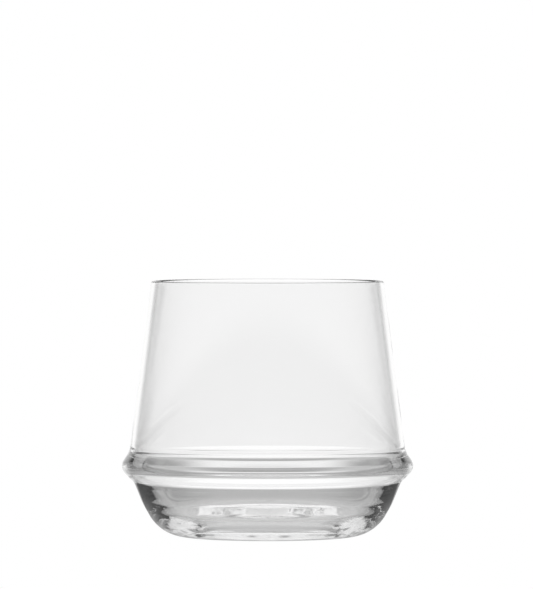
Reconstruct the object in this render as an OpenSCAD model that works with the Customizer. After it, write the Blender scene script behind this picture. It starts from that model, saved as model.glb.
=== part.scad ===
// Squat whiskey tumbler: one glass body, drawn as the stacked sections it is formed in.
// Origin: centre of the resting plane. +Z: the axis of revolution, towards the mouth.
// Each outline corner is a radius, a height and the radius that rounds it.

/* [Overall] */
// Height from the resting plane to the top of the lip
height = 88; // [86:0.5:90]
// Outer diameter of the mouth
mouth_d = 80; // [79:0.5:81]
// Outer diameter over the waist ring
ring_d = 100.3; // [100:0.1:100.6]

/* [Wall] */
// Lean of the straight wall from the vertical, in degrees
wall_lean = 7.3; // [7:0.1:7.6]
// Thickness of the wall at the lip
lip_t = 1.6; // [1.5:0.1:2]
// Thickness of the wall at its foot, measured level
wall_foot_t = 1.5; // [1.3:0.1:1.7]
// How far the inner foot stands over the outer one
wall_foot_rise = 1.5; // [1.3:0.1:1.7]
// Rounding inside the wall's foot
wall_foot_round = 6.3; // [5.8:0.1:6.8]

/* [Waist ring] */
// Height of the ring's widest line
ring_z = 24.3; // [24:0.1:24.6]
// Radius of the ring's nose
ring_nose_r = 3.4; // [3.2:0.1:3.6]
// Lean of the ring's upper flank from the vertical, in degrees
flank_lean = 33.5; // [32.5:0.5:34.5]
// Lean of the ring's lower flank from the vertical, in degrees
under_lean = 45; // [43:1:47]
// Radius of the blend from the ring up into the wall
ring_blend_r = 6.7; // [6.2:0.1:7.2]
// Height of the crease under the ring
crease_z = 18.7; // [18.4:0.1:19]
// Rounding of that crease
crease_round = 2; // [1.5:0.1:2.5]
// Inner radius of the hollow behind the ring
hollow_r = 47.9; // [47.7:0.1:48.1]
// Height of that hollow
hollow_z = 24.3; // [24.1:0.1:24.5]
// Rounding of that hollow
hollow_round = 1.9; // [1.5:0.1:2.3]
// Inner radius halfway from the hollow down to the step under it
slope_r = 44.1; // [44:0.1:44.2]
// Height of that place
slope_z = 19.4; // [19.3:0.1:19.5]
// Rounding of that place
slope_round = 1; // [0.7:0.1:1.3]

/* [Bowl] */
// Outer radius where the bowl's side turns towards the base
side_r = 42.8; // [42.6:0.1:43]
// Height of that turn
side_z = 11; // [10.5:0.1:11.5]
// Rounding of that turn
side_round = 30; // [20:1:32]
// Radius at which the bottom corner meets the resting plane
corner_r = 36.4; // [36:0.1:36.8]
// Rounding of the bottom corner
corner_round = 14.7; // [13:0.1:15]
// Inner radius of the step under the ring
step_r = 43; // [42.8:0.1:43.2]
// Height of that step
step_z = 17.6; // [17.4:0.1:17.8]
// Rounding of that step
step_round = 4.5; // [4.1:0.1:4.9]
// Inner radius of the bowl's side
bowl_r = 40.2; // [40:0.1:40.4]
// Height of the bottom of that side
bowl_z = 12.7; // [12.5:0.1:12.9]
// Rounding there
bowl_round = 13.8; // [12.8:0.1:14.8]
// Inner radius of the bowl's bottom corner
bottom_r = 35.2; // [35:0.1:35.4]
// Height of that corner
bottom_z = 5.7; // [5.5:0.1:5.9]
// Rounding of that corner
bottom_round = 12; // [11:0.1:13]

/* [Base] */
// Inner edge of the flat face that the glass rests on
rest_r = 27.2; // [26.9:0.1:27.5]
// Radius at which the punt under the base levels out
punt_r = 22; // [21.5:0.1:22.5]
// Depth of the punt at its centre
punt_depth = 1.2; // [1:0.1:1.4]
// Radius of the lowest ring of the inner floor
floor_r = 15.6; // [15.3:0.1:15.9]
// Height of that ring
floor_z = 3.7; // [3.5:0.1:3.9]
// Rounding of that ring
floor_round = 11.8; // [10.8:0.1:12.8]
// Radius of the raised centre of the floor
dome_r = 10.3; // [10:0.1:10.6]
// Height of the raised centre
dome_z = 5.4; // [5.2:0.1:5.6]
// Rounding of its edge
dome_round = 12.8; // [11.8:0.1:13.8]

/* [Hidden] */
GLASS = [0.93, 0.95, 0.95];
ROUND_STEPS = 24;                          // points along one rounded corner
$fn = 128;

LIP_H = 1.2;                               // height of the lip section
RING_TOP_RISE = 2.6;                       // the ring section reaches this far over its flank
BASE_SEAM_RISE = 1.2;                      // the base section reaches this far over the bottom corner
PUNT_EDGE_ROUND = 20;                      // roundings of the punt's and the resting face's edges
REST_EDGE_ROUND = 2;
MARGIN = 1;                                // how far a cut reaches past the glass

// Outer wall line, from the mouth down to the ring's waist
wall_slope = tan(wall_lean);
mouth_r = mouth_d / 2;
function wall_r(z) = mouth_r + (height - z) * wall_slope;
lip_round = lip_t * 0.475;

// The ring's two flanks touch its nose, and would meet in a corner that the nose rounds off
nose_centre_r = ring_d / 2 - ring_nose_r;
nose_reach = ring_nose_r / cos((flank_lean + under_lean) / 2);
nose_turn = (flank_lean - under_lean) / 2;
nose_corner = [nose_centre_r + nose_reach * cos(nose_turn), ring_z + nose_reach * sin(nose_turn)];
crease_r = nose_centre_r + (ring_nose_r - (ring_z - crease_z) * sin(under_lean)) / cos(under_lean);
flank_foot_z = (ring_nose_r + ring_z * sin(flank_lean) - (wall_r(0) - nose_centre_r) * cos(flank_lean))
    / (sin(flank_lean) - wall_slope * cos(flank_lean));
flank_foot_r = wall_r(flank_foot_z);

// Heights of the seams between the sections
lip_seam_z = height - LIP_H;
ring_top_z = flank_foot_z + RING_TOP_RISE;
base_seam_z = bottom_z + BASE_SEAM_RISE;

// Outline corners, anticlockwise from the axis: [r, z, rounding radius]
section = [
    [0, punt_depth, 0],
    [punt_r, punt_depth / 2, PUNT_EDGE_ROUND],
    [rest_r, 0, REST_EDGE_ROUND],
    [corner_r, 0, corner_round],
    [side_r, side_z, side_round],
    [crease_r, crease_z, crease_round],
    [nose_corner[0], nose_corner[1], ring_nose_r],
    [flank_foot_r, flank_foot_z, ring_blend_r],
    [mouth_r, height, lip_round],
    [mouth_r - lip_t, height, lip_round],
    [flank_foot_r - wall_foot_t, flank_foot_z + wall_foot_rise, wall_foot_round],
    [hollow_r, hollow_z, hollow_round],
    [slope_r, slope_z, slope_round],
    [step_r, step_z, step_round],
    [bowl_r, bowl_z, bowl_round],
    [bottom_r, bottom_z, bottom_round],
    [floor_r, floor_z, floor_round],
    [dome_r, dome_z, dome_round],
    [0, dome_z, 0],
];

// Unit vector from a to b
function unit(a, b) = (b - a) / norm(b - a);

// Points of an arc that rounds corner b between its neighbours a and c
function rounded(a, b, c, radius) =
    let (u = unit(b, a), v = unit(b, c), half = acos(u * v) / 2)
    let (reach = radius / tan(half), middle = unit([0, 0], u + v) * radius / sin(half))
    let (centre = b + middle, from = b + u * reach - centre, to = b + v * reach - centre)
    let (start = atan2(from[1], from[0]), turn = atan2(to[1], to[0]) - start)
    let (sweep = turn > 180 ? turn - 360 : turn < -180 ? turn + 360 : turn)
    [for (i = [0:ROUND_STEPS]) centre + radius * [cos(start + sweep * i / ROUND_STEPS),
                                                  sin(start + sweep * i / ROUND_STEPS)]];

function xy(p) = [p[0], p[1]];
function outline(corners) =
    let (n = len(corners))
    [for (i = [0:n - 1])
        let (a = xy(corners[(i + n - 1) % n]), b = xy(corners[i]), c = xy(corners[(i + 1) % n]))
        each (corners[i][2] == 0 ? [b] : rounded(a, b, c, corners[i][2]))];

// The glass between two heights, turned about the axis
module glass(from_z, to_z) {
    color(GLASS)
        rotate_extrude()
            intersection() {
                polygon(outline(section));
                translate([0, from_z]) square([ring_d, to_z - from_z]);
            }
}

module lip() { glass(lip_seam_z, height + MARGIN); }
module upper_wall() { glass(ring_top_z, lip_seam_z); }
module waist_ring() { glass(crease_z, ring_top_z); }
module lower_bowl() { glass(base_seam_z, crease_z); }
module base() { glass(-MARGIN, base_seam_z); }

lip();
upper_wall();
waist_ring();
lower_bowl();
base();
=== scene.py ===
"""Squat whiskey tumbler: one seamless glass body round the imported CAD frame, on a white table."""
import math
import bpy
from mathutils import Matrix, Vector


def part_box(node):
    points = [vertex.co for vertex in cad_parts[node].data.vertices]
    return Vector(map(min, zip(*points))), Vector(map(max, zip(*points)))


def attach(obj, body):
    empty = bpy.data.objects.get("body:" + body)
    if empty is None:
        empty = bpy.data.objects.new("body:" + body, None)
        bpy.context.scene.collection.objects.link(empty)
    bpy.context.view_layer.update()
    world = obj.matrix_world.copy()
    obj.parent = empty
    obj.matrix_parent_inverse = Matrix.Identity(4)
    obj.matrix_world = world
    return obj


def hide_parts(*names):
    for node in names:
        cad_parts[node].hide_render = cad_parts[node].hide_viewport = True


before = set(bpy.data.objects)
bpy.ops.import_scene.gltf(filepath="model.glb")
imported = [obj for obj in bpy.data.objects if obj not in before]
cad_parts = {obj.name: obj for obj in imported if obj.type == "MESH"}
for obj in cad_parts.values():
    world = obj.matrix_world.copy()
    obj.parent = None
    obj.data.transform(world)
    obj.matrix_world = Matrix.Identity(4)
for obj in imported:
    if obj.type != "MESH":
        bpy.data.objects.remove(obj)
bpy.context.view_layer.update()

MM = 0.001
BODY = "root"
scene = bpy.context.scene

# ------------------------------------------------------------ sizes, in millimetres
# The CAD sections give the outer line: its heights, and its radius at each seam
LIP_LOW, LIP_HIGH = [[v / MM for v in corner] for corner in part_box("lip")]
WALL_LOW, WALL_HIGH = [[v / MM for v in corner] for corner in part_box("upper_wall")]
RING_LOW, RING_HIGH = [[v / MM for v in corner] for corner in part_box("waist_ring")]
height = LIP_HIGH[2]
ring_r = RING_HIGH[0]
crease_z = RING_LOW[2]
wall_slope = (WALL_HIGH[0] - LIP_HIGH[0]) / (LIP_LOW[2] - WALL_LOW[2])
mouth_r = LIP_HIGH[0] - (height - LIP_LOW[2]) * wall_slope

# Outer line: places that lie inside a CAD section, then the flanks' leans and the rounding radii
RING_RISE = 5.6                 # the ring's widest line stands this far over the crease
SIDE = (42.8, 11.0)             # where the bowl's side turns towards the base
CORNER_R = 36.4                 # where the bottom corner's tangents meet
REST_R = 27.2                   # inner edge of the resting face
PUNT_R = 22.0                   # where the shallow punt under the base levels out
PUNT = 1.2                      # its depth
FLANK_LEAN = 33.5               # degrees from the vertical, of the ring's upper flank
UNDER_LEAN = 45.0               # and of its lower flank
RING_NOSE = 3.4
RING_BLEND = 6.7
CREASE_ROUND = 2.0
SIDE_ROUND = 30.0
CORNER_ROUND = 14.7
REST_EDGE_ROUND = 2.0
PUNT_EDGE_ROUND = 20.0
LIP_ROUND = 0.76
# Inner line: the wall's thickness at the lip and at its foot, how far the inner foot stands over
# the outer one, and then corners as (radius, height, rounding radius)
LIP_T = 1.6
WALL_FOOT_T = 1.5
WALL_FOOT_RISE = 1.5
WALL_FOOT_ROUND = 6.3
HOLLOW = (47.9, 24.3, 1.9)      # the hollow behind the ring
SLOPE = (44.1, 19.4, 1.0)       # halfway down from it
STEP = (43.0, 17.6, 4.5)        # the step under the ring
BOWL = (40.2, 12.7, 13.8)       # the foot of the bowl's side
BOTTOM = (35.2, 5.7, 12.0)      # the bowl's bottom corner
FLOOR = (15.6, 3.7, 11.8)       # the lowest ring of the floor
DOME = (10.3, 5.4, 12.8)        # the raised centre of the floor
# Mesh: how finely the line, and the turn about the axis, are divided
ROUND_STEPS = 20                # along one rounded corner
LONGEST = 1.2                   # longest straight
TURN_STEPS = 192                # round the axis
NOTHING = 1e-6                  # a radius, or a part of a step, that counts as none
SAME_PLACE = 1e-4               # points closer than this are one point

# ------------------------------------------------------------ camera, in metres and degrees
CAMERA_DISTANCE = 2.013
CAMERA_HEIGHT = 0.122
CAMERA_X = -0.00036
CAMERA_PITCH = -1.103
CAMERA_LENS = 357.5             # millimetres
CAMERA_SENSOR = 36              # millimetres
CAMERA_NEAR = 0.01
CAMERA_FAR = 100

# ------------------------------------------------------------ studio, in degrees and millimetres
# Azimuths are from straight behind the glass. ALL_ROUND, DOWN and UP reach past every direction
BEHIND = (0,)
FRONT = (180,)
ALL_ROUND = 190
DOWN = -100
UP = 100
SKY_LEVEL = 0.03                # dark, apart from the patches
# Level, azimuths, half width and its softness, lowest and highest elevation and their softness
SKY_PATCHES = [
    (0.95, BEHIND, ALL_ROUND, 1, DOWN, -5.5, 1.5),
    (0.70, BEHIND, ALL_ROUND, 1, 58, UP, 14),
    (1.00, BEHIND, 32, 8, DOWN, 14, 4),
    (1.10, BEHIND, 18, 10, 10, 50, 6),
    (1.20, (18, -18), 8, 5, -8, -3, 0.5),
]
# A long softbox overhead runs from front to back, so it fades with the sideways part of a direction
OVERHEAD = 0.95
OVERHEAD_LOW = 35               # elevations between which it fades in
OVERHEAD_HIGH = 50
OVERHEAD_EDGE = 0.50            # sideways parts between which it fades out
OVERHEAD_END = 0.80
TABLE_R = 0.40                  # metres
TABLE_GAP = 0.00002             # metres between it and the glass
TABLE_STEPS = 96
# Painted shadow: the glowing table is darkest close to the glass, where the glass's shadow would fall
TABLE_SHADOW_LEVEL = 0.42              # close to the glass
# The same, with distances from the glass's axis in place of elevations. They paint light and shade on
# the glowing table: darker levels near the glass as painted shadow, brighter patches behind it as
# painted pools of light
TABLE_LIGHT_AND_SHADE = [
    (0.25, BEHIND, ALL_ROUND, 1, 80, 200, 20),
    (0.95, BEHIND, ALL_ROUND, 1, 220, 900, 40),
    (0.65, FRONT, 45, 20, 30, 50, 6),
    (0.50, BEHIND, 35, 12, 54, 500, 6),
    (0.66, (26, -26), 12, 6, 76, 500, 8),
    (0.40, BEHIND, 12, 6, 78, 105, 6),
    (0.97, BEHIND, 27, 9, 56, 78, 5),
    (1.15, BEHIND, 14, 8, 150, 900, 20),
    (1.05, BEHIND, 32, 8, 500, 900, 40),
]

# ------------------------------------------------------------ glass material
GLASS_IOR = 1.5
TINT = 0.75
TINT_DENSITY = 12
# Faint waves left by forming, and closer ripples where the foot was pressed
WAVE_SCALE = 60                 # per metre
WAVE_DEPTH = 0.00004            # metres
RIPPLE_SCALE = 180
RIPPLE_SHARE = 1.5              # the ripples' depth over the waves' depth
RIPPLE_FULL = 0.003             # metres above the table, where they start to fade
RIPPLE_END = 0.010              # and where they are gone
BUMP_DETAIL = 1                 # of the noise behind both
WHITE = (1, 1, 1, 1)

# ------------------------------------------------------------ light paths
GLASS_BOUNCES = 32
GLOSSY_BOUNCES = 16


def unit(v):
    return v / v.length


def rounded(before, corner, after, radius):
    """Points of the arc that rounds a corner between its two neighbours."""
    u = unit(before - corner)
    v = unit(after - corner)
    half = math.acos(max(-1.0, min(1.0, u.dot(v)))) / 2
    reach = radius / math.tan(half)
    centre = corner + unit(u + v) * (radius / math.sin(half))
    start = corner + u * reach - centre
    end = corner + v * reach - centre
    first = math.atan2(start.y, start.x)
    turn = math.atan2(end.y, end.x) - first
    turn = (turn + math.pi) % math.tau - math.pi
    angles = [first + turn * i / ROUND_STEPS for i in range(ROUND_STEPS + 1)]
    return [centre + Vector((math.cos(a), math.sin(a))) * radius for a in angles]


def outline(corners):
    """The section's points from (r, z, rounding radius) corners, with long straights divided."""
    points = []
    for i, (r, z, radius) in enumerate(corners):
        corner = Vector((r, z))
        if radius == 0:
            points.append(corner)
            continue
        before = Vector(corners[i - 1][:2])
        after = Vector(corners[i + 1][:2])
        points += rounded(before, corner, after, radius)
    line = [points[0]]
    for point in points[1:]:
        start = line[-1]
        gap = point - start
        if gap.length < SAME_PLACE:
            continue
        parts = math.ceil(gap.length / LONGEST - NOTHING)
        line += [start + gap * k / parts for k in range(1, parts + 1)]
    return line


def wall_r(z):
    return mouth_r + (height - z) * wall_slope


def section():
    """Corners of the whole glass section, anticlockwise from the axis under the base."""
    ring_z = crease_z + RING_RISE
    flank = math.radians(FLANK_LEAN)
    under = math.radians(UNDER_LEAN)
    centre_r = ring_r - RING_NOSE
    nose_reach = RING_NOSE / math.cos((flank + under) / 2)
    nose_turn = (flank - under) / 2
    nose = (centre_r + nose_reach * math.cos(nose_turn), ring_z + nose_reach * math.sin(nose_turn))
    crease_r = centre_r + (RING_NOSE - RING_RISE * math.sin(under)) / math.cos(under)
    foot_z = RING_NOSE + ring_z * math.sin(flank) - (wall_r(0) - centre_r) * math.cos(flank)
    foot_z /= math.sin(flank) - wall_slope * math.cos(flank)
    outer = [
        (0, PUNT, 0),
        (PUNT_R, PUNT / 2, PUNT_EDGE_ROUND),
        (REST_R, 0, REST_EDGE_ROUND),
        (CORNER_R, 0, CORNER_ROUND),
        (*SIDE, SIDE_ROUND),
        (crease_r, crease_z, CREASE_ROUND),
        (*nose, RING_NOSE),
        (wall_r(foot_z), foot_z, RING_BLEND),
        (mouth_r, height, LIP_ROUND),
    ]
    inner = [
        (mouth_r - LIP_T, height, LIP_ROUND),
        (wall_r(foot_z) - WALL_FOOT_T, foot_z + WALL_FOOT_RISE, WALL_FOOT_ROUND),
        HOLLOW,
        SLOPE,
        STEP,
        BOWL,
        BOTTOM,
        FLOOR,
        DOME,
        (0, DOME[1], 0),
    ]
    return outer + inner


def turned(name, line):
    """A closed smooth body of revolution about Z from a line that starts and ends on the axis."""
    verts = []
    rows = []
    for point in line:
        if point.x < NOTHING:
            rows.append([len(verts)] * TURN_STEPS)
            verts.append((0, 0, point.y * MM))
            continue
        rows.append([len(verts) + k for k in range(TURN_STEPS)])
        for k in range(TURN_STEPS):
            angle = math.tau * k / TURN_STEPS
            verts.append((point.x * MM * math.cos(angle), point.x * MM * math.sin(angle), point.y * MM))
    faces = []
    for low, high in zip(rows, rows[1:]):
        for k in range(TURN_STEPS):
            after = (k + 1) % TURN_STEPS
            quad = (low[k], low[after], high[after], high[k])
            faces.append(tuple(dict.fromkeys(quad)))
    mesh = bpy.data.meshes.new(name)
    mesh.from_pydata(verts, [], faces)
    mesh.validate()
    mesh.shade_smooth()
    piece = bpy.data.objects.new(name, mesh)
    scene.collection.objects.link(piece)
    return piece


class Graph:
    """A node tree, with short calls for the nodes that work out a number."""

    def __init__(self, tree):
        self.tree = tree

    def node(self, kind):
        return self.tree.nodes.new(kind)

    def put(self, value, socket):
        """Links a socket's value in, or sets a plain number."""
        if isinstance(value, (int, float)):
            socket.default_value = value
        else:
            self.tree.links.new(value, socket)

    def math(self, operation, *values):
        node = self.node("ShaderNodeMath")
        node.operation = operation
        for socket, value in zip(node.inputs, values):
            self.put(value, socket)
        return node.outputs[0]

    def mix(self, factor, a, b):
        node = self.node("ShaderNodeMix")
        self.put(factor, node.inputs["Factor"])
        self.put(a, node.inputs["A"])
        self.put(b, node.inputs["B"])
        return node.outputs["Result"]

    def rise(self, value, start, end):
        """0 below start and 1 above end, smooth between."""
        node = self.node("ShaderNodeMapRange")
        node.interpolation_type = "SMOOTHSTEP"
        self.put(value, node.inputs["Value"])
        node.inputs["From Min"].default_value = start
        node.inputs["From Max"].default_value = end
        return node.outputs[0]

    def within(self, value, low, high, soft):
        """1 between low and high, and 0 outside, smooth over soft to each side of them."""
        inside = self.math("SUBTRACT", 1, self.rise(value, high - soft, high + soft))
        return self.math("MULTIPLY", inside, self.rise(value, low - soft, low + soft))

    def azimuth(self, x, y):
        """Degrees round from straight behind the glass."""
        return self.math("MULTIPLY", self.math("ARCTAN2", x, y), math.degrees(1))

    def patches(self, level, azimuth, reach, rows):
        """Lays each patch's level over what is there, round its azimuths and between two reaches."""
        for value, azimuths, half, side_soft, low, high, soft in rows:
            band = self.within(reach, low, high, soft)
            for centre in azimuths:
                turn = self.math("SUBTRACT", azimuth, centre)
                turn = self.math("ABSOLUTE", self.math("WRAP", turn, 180, -180))
                beside = self.math("SUBTRACT", 1, self.rise(turn, half - side_soft, half + side_soft))
                level = self.mix(self.math("MULTIPLY", band, beside), level, value)
        return level

    def white_to_camera(self, level):
        """The camera itself sees plain white past the glass."""
        seen = self.node("ShaderNodeLightPath").outputs["Is Camera Ray"]
        return self.mix(seen, level, 1.0)


# ------------------------------------------------------------ glass
def noise(graph, place, scale):
    """Smooth bumps between 0 and 1."""
    bumps = graph.node("ShaderNodeTexNoise")
    bumps.inputs["Scale"].default_value = scale
    bumps.inputs["Detail"].default_value = BUMP_DETAIL
    graph.put(place, bumps.inputs["Vector"])
    return bumps.outputs[0]


def clear_glass():
    """Clear soda-lime glass, with faint waves all over and closer ripples round the foot."""
    mat = bpy.data.materials.new("clear_glass")
    mat.use_nodes = True
    graph = Graph(mat.node_tree)
    nodes = mat.node_tree.nodes
    glass = nodes["Principled BSDF"]
    glass.inputs["Base Color"].default_value = WHITE
    glass.inputs["Transmission Weight"].default_value = 1
    glass.inputs["IOR"].default_value = GLASS_IOR
    glass.inputs["Roughness"].default_value = 0
    place = graph.node("ShaderNodeTexCoord").outputs["Object"]
    split = graph.node("ShaderNodeSeparateXYZ")
    graph.put(place, split.inputs[0])
    low = graph.rise(split.outputs["Z"], RIPPLE_END, RIPPLE_FULL)
    ripples = graph.math("MULTIPLY", noise(graph, place, RIPPLE_SCALE), RIPPLE_SHARE)
    surface = graph.math("MULTIPLY_ADD", low, ripples, noise(graph, place, WAVE_SCALE))
    bump = graph.node("ShaderNodeBump")
    bump.inputs["Distance"].default_value = WAVE_DEPTH
    graph.put(surface, bump.inputs["Height"])
    graph.put(bump.outputs["Normal"], glass.inputs["Normal"])
    tint = graph.node("ShaderNodeVolumeAbsorption")
    tint.inputs["Color"].default_value = (TINT, TINT, TINT, 1)
    tint.inputs["Density"].default_value = TINT_DENSITY
    graph.put(tint.outputs[0], nodes["Material Output"].inputs["Volume"])
    return mat


def tumbler():
    """The whole glass in one mesh, in place of the five CAD sections."""
    piece = turned("tumbler_glass", outline(section()))
    piece.data.materials.append(clear_glass())
    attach(piece, BODY)
    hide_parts("lip", "upper_wall", "waist_ring", "lower_bowl", "base")


# ------------------------------------------------------------ stage
def light_studio():
    """The studio round the glass, as a brightness that depends on direction alone."""
    world = bpy.data.worlds.new("studio")
    scene.world = world
    world.use_nodes = True
    world.node_tree.nodes.clear()
    graph = Graph(world.node_tree)
    split = graph.node("ShaderNodeSeparateXYZ")
    graph.put(graph.node("ShaderNodeTexCoord").outputs["Generated"], split.inputs[0])
    x, y, z = split.outputs
    elevation = graph.math("MULTIPLY", graph.math("ARCSINE", z), math.degrees(1))
    level = graph.patches(SKY_LEVEL, graph.azimuth(x, y), elevation, SKY_PATCHES)
    beside = graph.rise(graph.math("ABSOLUTE", x), OVERHEAD_END, OVERHEAD_EDGE)
    above = graph.rise(elevation, OVERHEAD_LOW, OVERHEAD_HIGH)
    level = graph.mix(graph.math("MULTIPLY", beside, above), level, OVERHEAD)
    background = graph.node("ShaderNodeBackground")
    background.inputs["Color"].default_value = WHITE
    graph.put(graph.white_to_camera(level), background.inputs["Strength"])
    graph.put(background.outputs[0], graph.node("ShaderNodeOutputWorld").inputs["Surface"])


def painted_table_light():
    """A glow in place of lighting: white to the camera, and patches of grey to rays that have met the
    glass, which paint the table's light and shade, darker near the glass as a painted shadow.
    """
    mat = bpy.data.materials.new("table")
    mat.use_nodes = True
    mat.node_tree.nodes.clear()
    graph = Graph(mat.node_tree)
    place = graph.node("ShaderNodeNewGeometry").outputs["Position"]
    split = graph.node("ShaderNodeSeparateXYZ")
    graph.put(place, split.inputs[0])
    length = graph.node("ShaderNodeVectorMath")
    length.operation = "LENGTH"
    graph.put(place, length.inputs[0])
    reach = graph.math("DIVIDE", length.outputs["Value"], MM)
    azimuth = graph.azimuth(split.outputs["X"], split.outputs["Y"])
    level = graph.patches(TABLE_SHADOW_LEVEL, azimuth, reach, TABLE_LIGHT_AND_SHADE)
    # The table glows rather than being lit, so its light and shade are painted
    glow = graph.node("ShaderNodeEmission")
    graph.put(graph.white_to_camera(level), glow.inputs["Strength"])
    graph.put(glow.outputs[0], graph.node("ShaderNodeOutputMaterial").inputs["Surface"])
    return mat


def table():
    """A round table, just under the glass."""
    turns = [math.tau * k / TABLE_STEPS for k in range(TABLE_STEPS)]
    ring = [(TABLE_R * math.cos(turn), TABLE_R * math.sin(turn), -TABLE_GAP) for turn in turns]
    mesh = bpy.data.meshes.new("table")
    mesh.from_pydata(ring, [], [tuple(range(TABLE_STEPS))])
    mesh.materials.append(painted_table_light())
    top = bpy.data.objects.new("table", mesh)
    scene.collection.objects.link(top)


def camera():
    """A long lens from the front, a little above the glass."""
    data = bpy.data.cameras.new("camera")
    data.lens = CAMERA_LENS
    data.sensor_width = CAMERA_SENSOR
    data.clip_start = CAMERA_NEAR
    data.clip_end = CAMERA_FAR
    view = bpy.data.objects.new("camera", data)
    view.location = (CAMERA_X, -CAMERA_DISTANCE, CAMERA_HEIGHT)
    view.rotation_euler = (math.radians(90 + CAMERA_PITCH), 0, 0)
    scene.collection.objects.link(view)
    scene.camera = view


scene.view_settings.view_transform = "Standard"
scene.cycles.max_bounces = GLASS_BOUNCES
scene.cycles.transmission_bounces = GLASS_BOUNCES
scene.cycles.glossy_bounces = GLOSSY_BOUNCES
scene.cycles.blur_glossy = 0
camera()
tumbler()
table()
light_studio()
bpy.context.view_layer.update()
